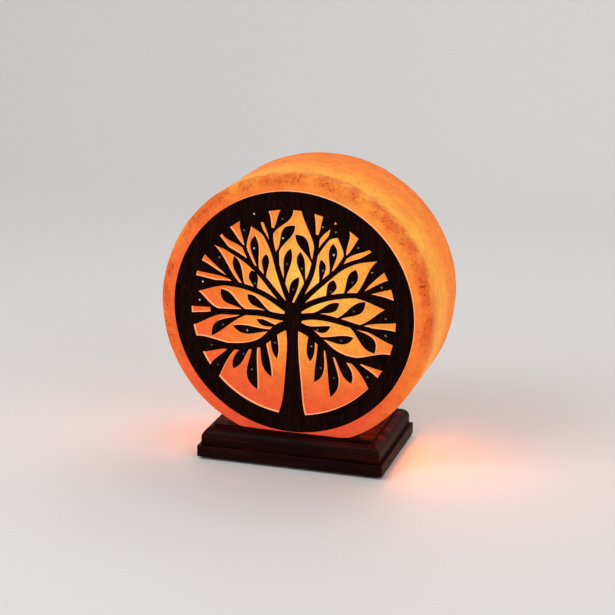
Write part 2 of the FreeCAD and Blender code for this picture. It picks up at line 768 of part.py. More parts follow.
def leaf(base, belly, tip, wide, stalk=3):
    """A pointed leaf: both edges run along its stalk, swell to its belly and meet at its tip."""
    start, middle, end = spot(base), spot(belly), spot(tip)
    along = (end - start).normalize()
    across = Vector(-along.y, along.x, 0)
    neck = start + (middle - start) * NECK_AT
    foot = across * (stalk * stretch / 2)
    swell = across * (wide * stretch / 2)
    edges = [
        Part.LineSegment(start - foot, start + foot).toShape(),
        curve_through([start + foot, neck + foot, middle + swell, end]),
        curve_through([end, middle - swell, neck - foot, start - foot]),
    ]
    return Part.Face(Part.Wire(edges))


TRUNK_LEFT = [(-13.1, -101.4), (-10.1, -92.3), (-7, -69.9), (-5.6, -49), (-4.8, -28), (-6.3, -14)]
TRUNK_RIGHT = [(6.3, -14), (6.3, -28), (7.6, -49), (9.8, -69.9), (12.3, -92.3), (14.7, -101.4)]
HUB = [
    (-6.3, -15.4), (-5.6, -9.8), (-7.7, -2.8), (-4.2, 7), (1.4, 11.2), (7, 7), (9.8, -4.2), (6.3, -14),
]

# A bough: the points of its line, then its width at the root and at its end.
BOUGHS = [
    # left, from the lowest up
    ([(-4.2, -11.2), (-18.2, -19.6), (-29.4, -30.1), (-43.4, -35.7),
      (-64.3, -37.8), (-83.9, -38.5), (-100.7, -40.6)], 9.4, 5),
    ([(-4.2, -4.2), (-16.8, -3.5), (-29.4, -2.1), (-54.5, -3.2), (-72.7, -4), (-81.1, -4)], 7, 5.4),
    ([(-1.4, 1.4), (-14, 9.1), (-28, 16.8), (-43.4, 21.7),
      (-62.9, 24.2), (-86.7, 22.1), (-100.7, 18.2)], 5.8, 5),
    ([(-1.4, 4.2), (-14, 16.1), (-28, 32.2), (-43.4, 46.2),
      (-57.3, 54.5), (-71.3, 61.5), (-83.9, 68.5)], 5.8, 3.8),
    ([(-38.2, 41), (-43.6, 52), (-48.6, 62.6)], 4.2, 3.5),
    ([(0, 5.6), (-5.6, 18.2), (-13.3, 39.2), (-18.9, 58.7), (-21.4, 72.7), (-20.1, 81.8)], 6, 4),
    ([(-15.4, 46.2), (-15.1, 55.9), (-14.6, 61)], 5, 2.4),
    ([(-18.9, 56), (-25.9, 71.3), (-33.6, 82.5)], 3.6, 2.8),
    # right, from the highest down
    ([(2.8, 5.6), (11.2, 24.5), (18, 40), (20.6, 51), (22.8, 66.4), (24.2, 78.3)], 5.9, 4.2),
    ([(21, 55.9), (31.3, 72), (39.9, 81.8)], 3.4, 2.8),
    ([(2.8, 4.2), (18.2, 22.4), (33.6, 37.1), (47.6, 49), (61.5, 55.9), (83.9, 61.5)], 5.8, 3.8),
    ([(40.6, 43.4), (47.6, 53.8), (51.7, 61.5)], 4.2, 3.5),
    ([(2.8, 1.4), (19.6, 12.6), (33.6, 18.2), (47.6, 21.7), (68.5, 23.8), (100.7, 18.2)], 5.8, 5),
    ([(4.2, -4.2), (26.6, -0.4), (43.4, -2.5), (61.5, -6.3), (75.5, -8.4)], 7, 5),
    ([(4.2, -11.2), (19.6, -18.2), (29.4, -25.9), (43.4, -35.7),
      (61.5, -39.9), (78.3, -38.5), (97.9, -39.2)], 9.4, 5),
]

# A leaf: its stalk end, its belly's middle, its tip, its width and, where it is stout, its stalk's
# width. Tips past the ring end in it.
LEAVES = [
    # left, under the lowest bough
    ((-18.2, -20.4), (-16.5, -35), (-14.5, -45.5), 7, 7),
    ((-29.4, -28), (-25.2, -51), (-19.6, -64.3), 8.4, 7),
    ((-36.5, -31.6), (-39.2, -61.5), (-33.6, -78.3), 10.6, 6),
    ((-44.5, -35.2), (-53.1, -49.8), (-58, -59.6), 9.2, 8),
    ((-57.3, -37), (-71.8, -54.5), (-77.5, -80), 11, 6),
    ((-52, -37), (-85.3, -37.9), (-111.9, -40.6), 14.8, 5.5),
    # left, between the boughs
    ((-18.2, -18.2), (-44.8, -19.6), (-58.7, -16.8), 8.4),
    ((-14, -14), (-25.2, -11.9), (-35, -8.4), 5.6),
    ((-46.2, -4.2), (-70.8, -17.3), (-79.7, -29), 9.2),
    ((-72.7, -2.8), (-91.6, 5.2), (-114.7, 7.7), 13.4),
    ((-69.5, -4.2), (-94.4, -12.3), (-123, -18), 10.8, 5),
    ((-46.2, -0.9), (-62.2, 9.1), (-70.6, 18.2), 9.8),
    ((-21, -1.3), (-37.1, 9.1), (-44.1, 15.4), 8.4),
    ((-35, 18.2), (-37.8, 30.1), (-39.9, 39.2), 8.4),
    ((-46.9, 21), (-54.3, 40.8), (-57.3, 51.5), 7.6),
    ((-53.8, 23.4), (-74, 47.6), (-98, 66), 12.4, 6),
    ((-60, 29), (-84, 37), (-114, 43.4), 9),
    ((-60, 24.3), (-91.5, 22), (-125, 14), 14.4, 5),
    ((-57.3, 53.8), (-71.3, 62.9), (-86.7, 74.1), 9),
    ((-45.2, 58.6), (-60.1, 69.9), (-71.3, 85.3), 9),
    ((-46.2, 57.6), (-46.6, 77.6), (-44.8, 95.1), 10.1),
    ((-33.4, 37.6), (-37.5, 62.2), (-37.1, 72.7), 8.4),
    ((-27, 32.6), (-26.6, 46.9), (-25.9, 55.9), 7),
    ((-20.7, 67), (-25, 86.7), (-33.6, 106.3), 7.6, 4),
    ((-20.7, 76), (-11.3, 89.5), (-1.4, 107.7), 9.2),
    ((-25.6, 71.2), (-36.4, 84.5), (-44.8, 97.9), 10.9),
    ((-30.8, 86), (-30.8, 95), (-32.2, 106.3), 11.2, 8),
    # middle
    ((-15, 58.5), (-6.7, 76.2), (2, 85.3), 9.8),
    ((-8.4, 28), (-4.8, 52.4), (-2, 63.2), 7.8),
    ((-3.5, 2.8), (1.4, 26.6), (6.3, 36.4), 7.8),
    ((12.6, 29.4), (7.8, 51), (7.3, 60.8), 7.8),
    ((19.6, 50.3), (9.8, 69.2), (2.4, 76.9), 9.8),
    # right, from the top down
    ((22.8, 64.4), (17, 88.5), (7.7, 114.7), 9.5, 4),
    ((23.6, 73.4), (32.3, 88), (34, 104), 10.6, 4),
    ((32.2, 73.1), (38.8, 80.8), (50, 87), 10),
    ((36.4, 40.6), (38.7, 60.8), (38.7, 71.3), 8.1),
    ((26.6, 30.8), (28.7, 46.9), (27.4, 55.2), 6.7),
    ((50.3, 58.7), (49.3, 74), (43, 94), 9.2),
    ((49.3, 57.4), (62.9, 68.8), (82.5, 86.7), 10.1),
    ((56, 53.4), (77.3, 62), (104.9, 70), 9.4, 4),
    ((32.2, 16.8), (37.6, 28), (40, 36.4), 8.4),
    ((49, 20.4), (57.3, 37.8), (61, 48.3), 9.5),
    ((63, 23), (78.3, 46.2), (103.6, 62), 10.5, 5),
    ((64, 23.2), (86, 33.8), (116.1, 38), 8.1, 5),
    ((60, 23), (88.8, 17.6), (116.1, 8.4), 9.8, 4.2),
    ((19.6, 1.4), (37.8, 9.1), (45.6, 14.7), 8.4),
    ((43.4, -1.4), (60.1, 8.4), (70.8, 18.2), 9.2),
    ((64.3, -6.3), (87.4, 4.5), (116.1, 8.4), 11.7),
    ((66, -6.5), (92.3, -12.8), (116.1, -19), 12, 5),
    ((53.1, -4.2), (73, -19.9), (80.6, -30.8), 12.6),
    ((14, -11.2), (26.6, -12.6), (37.8, -8.4), 6.2),
    ((25.2, -21), (47.6, -21), (60.1, -17.5), 8.4),
    ((55, -39.6), (85.3, -38.9), (111.9, -42), 15.4, 6),
    ((58, -39), (75.7, -54.5), (81.5, -82), 11.6, 6),
    ((44.8, -35.8), (54, -52.4), (58.7, -62.9), 9.8, 8),
    ((35.7, -30.8), (41.4, -60.8), (38.6, -78.3), 10.3, 7),
    ((28.7, -26.6), (27.4, -52.4), (22.4, -65), 9, 7),
    ((19.6, -16.8), (18.5, -35), (18.2, -44.8), 7.8, 7),
]

# Where a small cut-glass stone is glued on a leaf.
CRYSTALS = [
    (-37.8, 93.7), (-10.2, 90.9), (-9.5, 72.7), (-37.5, 60.8), (-5.6, 48), (1.1, 24.1),
    (-36.4, 26.6), (-88.5, 23.8), (-72, 49), (-47.6, 76.9), (-68.5, -16.8), (-44.1, -20.1),
    (-79.7, -38.2), (-47.6, -44.1), (-73.1, -57.3), (-16.4, -29.7), (-39.2, -58.7), (-91.6, 5.6),
    (9.1, 45), (29.4, 44.8), (28.7, 86.3), (41.1, 82.5), (39.7, 60.7), (62.7, 69.4),
    (76.4, 46.9), (85.9, 33.8), (37.3, 25.2), (57.9, 36.1), (59.9, 8.4), (90.3, 3.9),
    (90.9, -12.6), (25.2, -12.9), (48.1, -21.3), (19.3, -29.9), (28.8, -50.3), (41.8, -58.7),
    (74.4, -54.5),
]

trunk_edges = [
    curve_through([spot(place) for place in TRUNK_LEFT]),
    Part.LineSegment(spot(TRUNK_LEFT[-1]), spot(TRUNK_RIGHT[0])).toShape(),
    curve_through([spot(place) for place in TRUNK_RIGHT]),
    Part.LineSegment(spot(TRUNK_RIGHT[-1]), spot(TRUNK_LEFT[0])).toShape(),
]
hub_edges = [
    curve_through([spot(place) for place in HUB]),
    Part.LineSegment(spot(HUB[-1]), spot(HUB[0])).toShape(),
]
outer_disc = Part.Face(Part.Wire(Part.makeCircle(value(PANEL_RADIUS))))
inner_disc = Part.Face(Part.Wire(Part.makeCircle(value(RING_INSIDE))))
through = Vector(0, 0, value("panel_thick"))
ring = outer_disc.cut(inner_disc).extrude(through)
tree = [Part.Face(Part.Wire(trunk_edges)), Part.Face(Part.Wire(hub_edges))]
tree += [bough(*drawn) for drawn in BOUGHS]
tree += [leaf(*drawn) for drawn in LEAVES]
cut_out = ring.fuse([face.extrude(through) for face in tree])
fretwork = cut_out.common(outer_disc.extrude(through)).removeSplitter()
stand_up = Rotation(Vector(1, 0, 0), 90)
on_the_face = Placement(Vector(0, -value(DRUM_FRONT), value(DRUM_CENTRE)), stand_up)
shaped("tree_panel", fretwork, on_the_face)

# ---------------------------------------------------------------- stones glued on the leaves

crystals = []
for place in CRYSTALS:
    crystals.append(Part.makeCone(
        value("crystal_radius"), value("crystal_top"), value("crystal_tall"),
        spot(place) + through,
    ))
shaped("panel_crystals", Part.makeCompound(crystals), on_the_face)

# ---------------------------------------------------------------- check and write

doc.recompute()
PIECES = [
    "salt_drum", "tree_panel", "panel_crystals", "plinth", "feet", "cord_grommet",
    "access_plate", "plate_screws", "riser_tube", "lower_stem_nut", "upper_stem_nut", "stem_washer",
    "holder_cap", "grub_screw", "holder_shell", "contact_block", "screw_shell", "centre_contact",
    "terminal_blocks", "terminal_screws", "bulb_tip", "bulb_insulator", "bulb_cap", "bulb_glass",
    "bulb_stem", "bulb_lead_wires", "bulb_filament", "filament_support",
]
for thing in doc.Objects:
    if "Invalid" in thing.State or "Error" in thing.State:
        raise RuntimeError(f"{thing.Label} failed: {thing.State}")
os.makedirs("parts", exist_ok=True)
for label in PIECES:
    shape = doc.getObjectsByLabel(label)[0].Shape
    if shape.isNull() or not shape.isValid():
        raise RuntimeError(f"{label} has no valid shape")
    print(f"{label}: {len(shape.Solids)} solids, {shape.Volume:.1f} mm3")
    shape.exportStep(f"parts/{label}.step")
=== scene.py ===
import math

import bmesh
import bpy
from mathutils import Matrix, Vector, noise


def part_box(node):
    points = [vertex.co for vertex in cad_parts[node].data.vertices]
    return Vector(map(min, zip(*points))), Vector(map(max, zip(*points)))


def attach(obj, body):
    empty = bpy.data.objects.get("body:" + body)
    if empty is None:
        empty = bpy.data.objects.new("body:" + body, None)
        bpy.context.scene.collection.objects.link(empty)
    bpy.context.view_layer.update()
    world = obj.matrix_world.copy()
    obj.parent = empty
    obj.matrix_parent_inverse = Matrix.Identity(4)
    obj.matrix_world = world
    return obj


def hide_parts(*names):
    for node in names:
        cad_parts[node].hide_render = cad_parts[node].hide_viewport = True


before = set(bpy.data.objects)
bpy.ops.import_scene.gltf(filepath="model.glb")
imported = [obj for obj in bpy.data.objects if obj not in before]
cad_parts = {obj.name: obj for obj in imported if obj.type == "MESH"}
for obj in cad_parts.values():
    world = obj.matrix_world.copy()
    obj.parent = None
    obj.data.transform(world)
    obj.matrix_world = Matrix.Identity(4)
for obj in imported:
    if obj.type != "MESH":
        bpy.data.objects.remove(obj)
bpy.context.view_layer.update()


# ---- Plinth
# A block of dense tropical hardwood with a stepped and quarter-round moulded edge, planed, stained
# nearly black and given one satin coat, so that the grain shows only as dull red-brown streaks.


def linear(code):
    """An sRGB hex colour in the linear values that the shaders work in."""
    channels = [int(code[place:place + 2], 16) / 255 for place in (1, 3, 5)]
    return [part / 12.92 if part <= 0.04045 else ((part + 0.055) / 1.055) ** 2.4
            for part in channels] + [1.0]


def add(tree, kind, values=None, links=None, stops=(), **settings):
    """Adds a shader node with its settings, its values, its colour stops and what feeds it."""
    node = tree.nodes.new("ShaderNode" + kind)
    for name, setting in settings.items():
        setattr(node, name, setting)
    for socket, amount in (values or {}).items():
        node.inputs[socket].default_value = amount
    for socket, source in (links or {}).items():
        tree.links.new(source, node.inputs[socket])
    for number, (place, code) in enumerate(stops):
        bars = node.color_ramp.elements
        bar = bars[number] if number < len(bars) else bars.new(place)
        bar.position = place
        bar.color = linear(code)
    return node


def new_finish(name):
    """An empty finish: the material, its nodes, its shader and the piece's own place in millimetres."""
    material = bpy.data.materials.new(name)
    material.use_nodes = True
    tree = material.node_tree
    place = add(tree, "TexCoord")
    ruler = add(tree, "Mapping", {"Scale": (1000, 1000, 1000)}, {"Vector": place.outputs["Object"]})
    return material, tree, tree.nodes["Principled BSDF"], ruler.outputs["Vector"]


def dress(material, *nodes):
    """Gives the material to pieces that keep their CAD shape."""
    for name in nodes:
        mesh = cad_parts[name].data
        mesh.materials.clear()
        mesh.materials.append(material)


stained_hardwood, tree, shader, place = new_finish("stained_hardwood")
shader.inputs["Roughness"].default_value = 0.5
shader.inputs["Specular IOR Level"].default_value = 0.05
shader.inputs["Coat Weight"].default_value = 0.012
shader.inputs["Coat Roughness"].default_value = 0.2
# The figure runs along the block: bands about 6 mm apart, drawn out some 80 mm.
along = add(tree, "Mapping", {"Scale": (0.012, 0.16, 0.16)}, {"Vector": place})
figure = add(tree, "TexNoise", {"Scale": 1.0, "Detail": 6.0, "Roughness": 0.62, "Distortion": 0.5},
             {"Vector": along.outputs["Vector"]})
# Pores are dashes some 5 mm long and half a millimetre wide, the least that shows.
dashes = add(tree, "Mapping", {"Scale": (0.2, 2.0, 2.0)}, {"Vector": place})
pores = add(tree, "TexNoise", {"Scale": 1.0, "Detail": 2.0, "Roughness": 0.5},
            {"Vector": dashes.outputs["Vector"]})
open_pores = add(tree, "MapRange", {"From Min": 0.36, "From Max": 0.47, "To Min": 0.0, "To Max": 1.0},
                 {"Value": pores.outputs["Fac"]})
stain = add(tree, "ValToRGB", links={"Fac": figure.outputs["Fac"]},
            stops=((0.3, "#0B0101"), (0.48, "#180201"), (0.62, "#2E0603"), (0.76, "#4C1008")))
in_pores = add(tree, "MixRGB", {"Color1": linear("#0A0202")},
               {"Fac": open_pores.outputs["Result"], "Color2": stain.outputs["Color"]})
tree.links.new(in_pores.outputs["Color"], shader.inputs["Base Color"])
grooves = add(tree, "Bump", {"Strength": 0.25, "Distance": 0.0002},
              {"Height": open_pores.outputs["Result"]})
tree.links.new(grooves.outputs["Normal"], shader.inputs["Normal"])
dress(stained_hardwood, "plinth")


# ---- Feet and cord bush
# Four pads punched from black rubber sheet and glued on, and a moulded rubber bush in the cord hole.
# Both are matt, with the faint greyish dust that rubber picks up.

black_rubber, tree, shader, place = new_finish("black_rubber")
shader.inputs["Roughness"].default_value = 0.85
shader.inputs["Specular IOR Level"].default_value = 0.35
dust = add(tree, "TexNoise", {"Scale": 0.5, "Detail": 5.0, "Roughness": 0.7}, {"Vector": place})
rubber_tone = add(tree, "ValToRGB", links={"Fac": dust.outputs["Fac"]},
                  stops=((0.35, "#141414"), (0.75, "#2B2A29")))
tree.links.new(rubber_tone.outputs["Color"], shader.inputs["Base Color"])
grain = add(tree, "TexNoise", {"Scale": 3.0, "Detail": 3.0}, {"Vector": place})
matt = add(tree, "Bump", {"Strength": 0.2, "Distance": 0.0001}, {"Height": grain.outputs["Fac"]})
tree.links.new(matt.outputs["Normal"], shader.inputs["Normal"])
dress(black_rubber, "feet", "cord_grommet")


# ---- Access plate, its screws, and the stem with its nuts and washer
# Pressed and turned mild steel, zinc plated and passivated: a cool grey with cloudy patches where
# the plating differs, and a faint yellow cast.

zinc_plate, tree, shader, place = new_finish("zinc_plate")
shader.inputs["Metallic"].default_value = 1.0
clouds = add(tree, "TexNoise", {"Scale": 0.12, "Detail": 4.0, "Roughness": 0.6}, {"Vector": place})
zinc_tone = add(tree, "ValToRGB", links={"Fac": clouds.outputs["Fac"]},
                stops=((0.3, "#A9AAA8"), (0.55, "#BDBEBB"), (0.75, "#C9C6B8")))
tree.links.new(zinc_tone.outputs["Color"], shader.inputs["Base Color"])
dullness = add(tree, "MapRange", {"To Min": 0.28, "To Max": 0.5}, {"Value": clouds.outputs["Fac"]})
tree.links.new(dullness.outputs["Result"], shader.inputs["Roughness"])
dress(zinc_plate, "access_plate", "plate_screws", "riser_tube", "lower_stem_nut", "upper_stem_nut",
      "stem_washer", "grub_screw", "terminal_screws")


# ---- Lampholder
# Cap and shell moulded in black heat-proof plastic with a fine spark-eroded skin. The block inside
# is glazed porcelain, and the contacts, screw shell and terminals are stamped or turned brass.

moulded_black, tree, shader, place = new_finish("moulded_black_plastic")
shader.inputs["Roughness"].default_value = 0.5
eroded = add(tree, "TexNoise", {"Scale": 2.5, "Detail": 2.0}, {"Vector": place})
plastic_tone = add(tree, "ValToRGB", links={"Fac": eroded.outputs["Fac"]},
                   stops=((0.3, "#131313"), (0.7, "#1D1D1E")))
tree.links.new(plastic_tone.outputs["Color"], shader.inputs["Base Color"])
skin = add(tree, "Bump", {"Strength": 0.3, "Distance": 0.00005}, {"Height": eroded.outputs["Fac"]})
tree.links.new(skin.outputs["Normal"], shader.inputs["Normal"])
dress(moulded_black, "holder_cap", "holder_shell")

porcelain, tree, shader, place = new_finish("glazed_porcelain")
shader.inputs["Roughness"].default_value = 0.3
shader.inputs["Coat Weight"].default_value = 0.8
shader.inputs["Coat Roughness"].default_value = 0.06
body_clay = add(tree, "TexNoise", {"Scale": 0.6, "Detail": 4.0}, {"Vector": place})
clay_tone = add(tree, "ValToRGB", links={"Fac": body_clay.outputs["Fac"]},
                stops=((0.3, "#DAD6CB"), (0.7, "#E9E6DD")))
tree.links.new(clay_tone.outputs["Color"], shader.inputs["Base Color"])
dress(porcelain, "contact_block")

stamped_brass, tree, shader, place = new_finish("stamped_brass")
shader.inputs["Metallic"].default_value = 1.0
tarnish = add(tree, "TexNoise", {"Scale": 0.35, "Detail": 5.0, "Roughness": 0.65}, {"Vector": place})
brass_tone = add(tree, "ValToRGB", links={"Fac": tarnish.outputs["Fac"]},
                 stops=((0.35, "#B58A3E"), (0.6, "#D9B765"), (0.8, "#E2C274")))
tree.links.new(brass_tone.outputs["Color"], shader.inputs["Base Color"])
brightness = add(tree, "MapRange", {"To Min": 0.42, "To Max": 0.2}, {"Value": tarnish.outputs["Fac"]})
tree.links.new(brightness.outputs["Result"], shader.inputs["Roughness"])
dress(stamped_brass, "screw_shell", "centre_contact", "terminal_blocks")


# ---- Bulb
# A small candle-socket bulb: blown clear glass with a pressed stem, a nickel-plated rolled cap on a
# ring of black glass, a solder blob for its foot, and a coiled tungsten filament that is lit.

clear_glass, tree, shader, place = new_finish("blown_clear_glass")
shader.inputs["Roughness"].default_value = 0.02
shader.inputs["IOR"].default_value = 1.5
shader.inputs["Transmission Weight"].default_value = 1.0
waves = add(tree, "TexNoise", {"Scale": 0.08, "Detail": 1.0}, {"Vector": place})
glass_tone = add(tree, "ValToRGB", links={"Fac": waves.outputs["Fac"]},
                 stops=((0.3, "#F4F6F3"), (0.7, "#FCFDFC")))
tree.links.new(glass_tone.outputs["Color"], shader.inputs["Base Color"])
blown = add(tree, "Bump", {"Strength": 0.15, "Distance": 0.0003}, {"Height": waves.outputs["Fac"]})
tree.links.new(blown.outputs["Normal"], shader.inputs["Normal"])
dress(clear_glass, "bulb_glass", "bulb_stem")

nickel, tree, shader, place = new_finish("nickel_plate")
shader.inputs["Metallic"].default_value = 1.0
rolled = add(tree, "TexNoise", {"Scale": 0.8, "Detail": 4.0}, {"Vector": place})
nickel_tone = add(tree, "ValToRGB", links={"Fac": rolled.outputs["Fac"]},
                  stops=((0.3, "#B9B4AA"), (0.7, "#D2CEC4")))
tree.links.new(nickel_tone.outputs["Color"], shader.inputs["Base Color"])
rubbed = add(tree, "MapRange", {"To Min": 0.18, "To Max": 0.34}, {"Value": rolled.outputs["Fac"]})
tree.links.new(rubbed.outputs["Result"], shader.inputs["Roughness"])
dress(nickel, "bulb_cap", "bulb_lead_wires", "filament_support")

solder, tree, shader, place = new_finish("dull_solder")
shader.inputs["Metallic"].default_value = 1.0
frosty = add(tree, "TexNoise", {"Scale": 2.0, "Detail": 5.0, "Roughness": 0.7}, {"Vector": place})
solder_tone = add(tree, "ValToRGB", links={"Fac": frosty.outputs["Fac"]},
                  stops=((0.3, "#8D9093"), (0.7, "#B5B7B8")))
tree.links.new(solder_tone.outputs["Color"], shader.inputs["Base Color"])
frost = add(tree, "MapRange", {"To Min": 0.4, "To Max": 0.6}, {"Value": frosty.outputs["Fac"]})
tree.links.new(frost.outputs["Result"], shader.inputs["Roughness"])
dress(solder, "bulb_tip")

black_glass, tree, shader, place = new_finish("pressed_black_glass")
shader.inputs["Roughness"].default_value = 0.12
pressed = add(tree, "TexNoise", {"Scale": 0.9, "Detail": 2.0}, {"Vector": place})
vitrite_tone = add(tree, "ValToRGB", links={"Fac": pressed.outputs["Fac"]},
                   stops=((0.3, "#0B0A10"), (0.7, "#18151D")))
tree.links.new(vitrite_tone.outputs["Color"], shader.inputs["Base Color"])
dress(black_glass, "bulb_insulator")

hot_tungsten, tree, shader, place = new_finish("hot_tungsten")
shader.inputs["Roughness"].default_value = 0.5
shader.inputs["Base Color"].default_value = linear("#4A4038")
# The coil's turns are some 0.2 mm apart: brighter on each turn, darker between them.
turns = add(tree, "TexWave", {"Scale": 1.6, "Distortion": 0.0}, {"Vector": place})
heat = add(tree, "ValToRGB", links={"Fac": turns.outputs["Fac"]},
           stops=((0.0, "#FF9A3C"), (0.7, "#FFE1A8")))
tree.links.new(heat.outputs["Color"], shader.inputs["Emission Color"])
shader.inputs["Emission Strength"].default_value = 6.0
dress(hot_tungsten, "bulb_filament")


# ---- Salt drum
# A wheel sawn from pink-orange rock salt, its face ground flat for the wooden disc, its rim and
# sides rounded off by hand and washed, and bored from below for the lamp. It glows from inside:
# yellow near the bulb, orange at the side, red-orange low down, with rusty specks near the rim.

FACE_FLAT = 0.0855
RIM_ROUND = 0.004
RIM_STEPS = 7
WALL_STEPS = 36
TURN_STEPS = 288
BORE_RADIUS = 0.026
BORE_TOP = 0.152
BORE_END_ROUND = 0.008
CHIP_DEEP = 0.0004
WASH_DEEP = 0.001
GRIT_DEEP = 0.00006

low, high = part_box("salt_drum")
drum_radius = (high.x - low.x) / 2
drum_centre = Vector((0, 0, high.z - drum_radius))

# Half the wheel's section, from the middle of its face round the rim to the middle of its back.
section = [(low.y, share * FACE_FLAT / 5) for share in range(6)]
for step in range(RIM_STEPS + 1):
    angle = math.pi / 2 * step / RIM_STEPS
    section.append((low.y + RIM_ROUND * (1 - math.cos(angle)),
                    drum_radius - RIM_ROUND * (1 - math.sin(angle))))
for step in range(1, WALL_STEPS):
    share = step / WALL_STEPS
    section.append((low.y + RIM_ROUND + (high.y - low.y - 2 * RIM_ROUND) * share, drum_radius))
for step in range(RIM_STEPS + 1):
    angle = math.pi / 2 * step / RIM_STEPS
    section.append((high.y - RIM_ROUND * (1 - math.sin(angle)),
                    drum_radius - RIM_ROUND * (1 - math.cos(angle))))
section += [(high.y, share * FACE_FLAT / 9) for share in range(9, -1, -1)]

salt_mesh = bpy.data.meshes.new("salt_wheel")
salt = bmesh.new()
points = [salt.verts.new((0, y, drum_centre.z + reach)) for y, reach in section]
lines = [salt.edges.new(pair) for pair in zip(points, points[1:])]
bmesh.ops.spin(salt, geom=points + lines, cent=drum_centre, axis=(0, 1, 0), angle=math.tau,
               steps=TURN_STEPS, use_merge=True)
bmesh.ops.remove_doubles(salt, verts=salt.verts, dist=0.00002)
bmesh.ops.recalc_face_normals(salt, faces=salt.faces)
salt.normal_update()

# The hand work: broad hollows, flats where chips came off, and a fine grit. All of it cuts inwards,
# and the face stays flat where the wooden disc lies.
for point in salt.verts:
    outward = point.co - drum_centre
    reach = Vector((outward.x, 0, outward.z)).length
    on_face = point.co.y < low.y + 0.0001
    share = 0.0 if on_face and reach < FACE_FLAT else 1.0
    if point.co.y > high.y - 0.0001:
        share = 0.6
    washed = max(0.0, noise.noise(point.co * 26))
    flats = noise.voronoi(point.co * 34)[0]
    chipped = max(0.0, 0.5 - 0.5 * (flats[1] - flats[0]) * 3)
    gritty = 0.5 + 0.5 * noise.fractal(point.co * 420, 1.0, 2.0, 3)
    cut = WASH_DEEP * washed + CHIP_DEEP * chipped + GRIT_DEEP * gritty
    point.co -= point.normal * cut * share

bmesh.ops.bisect_plane(salt, geom=salt.verts[:] + salt.edges[:] + salt.faces[:], plane_co=low,
                       plane_no=(0, 0, -1), clear_outer=True)
cut_edges = [edge for edge in salt.edges if edge.is_boundary]
mouth = bmesh.ops.create_circle(salt, segments=64, radius=BORE_RADIUS,
                                matrix=Matrix.Translation((0, 0, low.z)))
loop = list({edge for point in mouth["verts"] for edge in point.link_edges})
bmesh.ops.triangle_fill(salt, use_beauty=True, edges=cut_edges + loop)
bore = [(BORE_TOP - BORE_END_ROUND, BORE_RADIUS)]
for step in range(1, 6):
    angle = math.pi / 2 * step / 5
    bore.append((BORE_TOP - BORE_END_ROUND * (1 - math.sin(angle)),
                 BORE_RADIUS - BORE_END_ROUND * (1 - math.cos(angle))))
for level, reach in bore:
    raised = bmesh.ops.extrude_edge_only(salt, edges=loop)["geom"]
    loop = [part for part in raised if isinstance(part, bmesh.types.BMEdge) and part.is_boundary]
    for point in {point for edge in loop for point in edge.verts}:
        flat = Vector((point.co.x, point.co.y, 0)).normalized() * reach
        point.co = (flat.x, flat.y, level)
bmesh.ops.holes_fill(salt, edges=loop, sides=0)
bmesh.ops.recalc_face_normals(salt, faces=salt.faces)
salt.to_mesh(salt_mesh)
salt.free()
salt_wheel = bpy.data.objects.new("salt_wheel", salt_mesh)
bpy.context.scene.collection.objects.link(salt_wheel)
for face in salt_mesh.polygons:
    face.use_smooth = True

glowing_salt, tree, shader, place = new_finish("glowing_rock_salt")
shader.inputs["Roughness"].default_value = 0.55
shader.inputs["Specular IOR Level"].default_value = 0.07
shader.inputs["Emission Strength"].default_value = 0.76
# How far a spot lies from the drum's axis, and from the hottest place, just above the bulb's cap.
centre_mm = drum_centre * 1000
from_axis = add(tree, "VectorMath", {1: centre_mm}, {0: place}, operation="SUBTRACT")
across = add(tree, "VectorMath", {1: (1, 0, 1)}, {0: from_axis.outputs["Vector"]}, operation="MULTIPLY")
radial = add(tree, "VectorMath", links={0: across.outputs["Vector"]}, operation="LENGTH")
off_bulb = add(tree, "VectorMath", {1: (7, 0, 18)}, {0: across.outputs["Vector"]}, operation="SUBTRACT")
to_bulb = add(tree, "VectorMath", links={0: off_bulb.outputs["Vector"]}, operation="LENGTH")
split = add(tree, "SeparateXYZ", links={"Vector": place})
# Crystals of some 30 mm and cloudy seams of some 8 mm let more or less light through.
lumps = add(tree, "TexNoise", {"Scale": 0.035, "Detail": 3.0, "Roughness": 0.55, "Distortion": 0.6},
            {"Vector": place})
seams = add(tree, "TexNoise", {"Scale": 0.13, "Detail": 6.0, "Roughness": 0.65, "Distortion": 0.8},
            {"Vector": place})
lumps_by = add(tree, "MapRange", {"To Min": -14.0, "To Max": 14.0}, {"Value": lumps.outputs["Fac"]})
wander = add(tree, "Math", links={0: to_bulb.outputs["Value"], 1: lumps_by.outputs["Result"]},
             operation="ADD")
# More of it comes through towards the top and the right, where the salt is clearer.
split_off = add(tree, "SeparateXYZ", links={"Vector": across.outputs["Vector"]})
upward = add(tree, "Math", {1: 0.0}, {0: split_off.outputs["Z"]}, operation="MAXIMUM")
clear_right = add(tree, "Math", {1: -0.2}, {0: split_off.outputs["X"], 2: wander.outputs[0]},
                  operation="MULTIPLY_ADD")
clear_top = add(tree, "Math", {1: -0.13}, {0: upward.outputs[0], 2: clear_right.outputs[0]},
                operation="MULTIPLY_ADD")
face_place = add(tree, "MapRange", {"From Min": 0.0, "From Max": 110.0}, {"Value": clear_top.outputs[0]})
face_glow = add(tree, "ValToRGB", links={"Fac": face_place.outputs["Result"]},
                stops=((0.0, "#FFDA5C"), (0.1, "#FFCC54"), (0.3, "#FDAA44"), (0.46, "#F9943C"),
                       (0.57, "#FA8436"), (0.7, "#F87634"), (0.84, "#F86E36"), (1.0, "#F46236")))
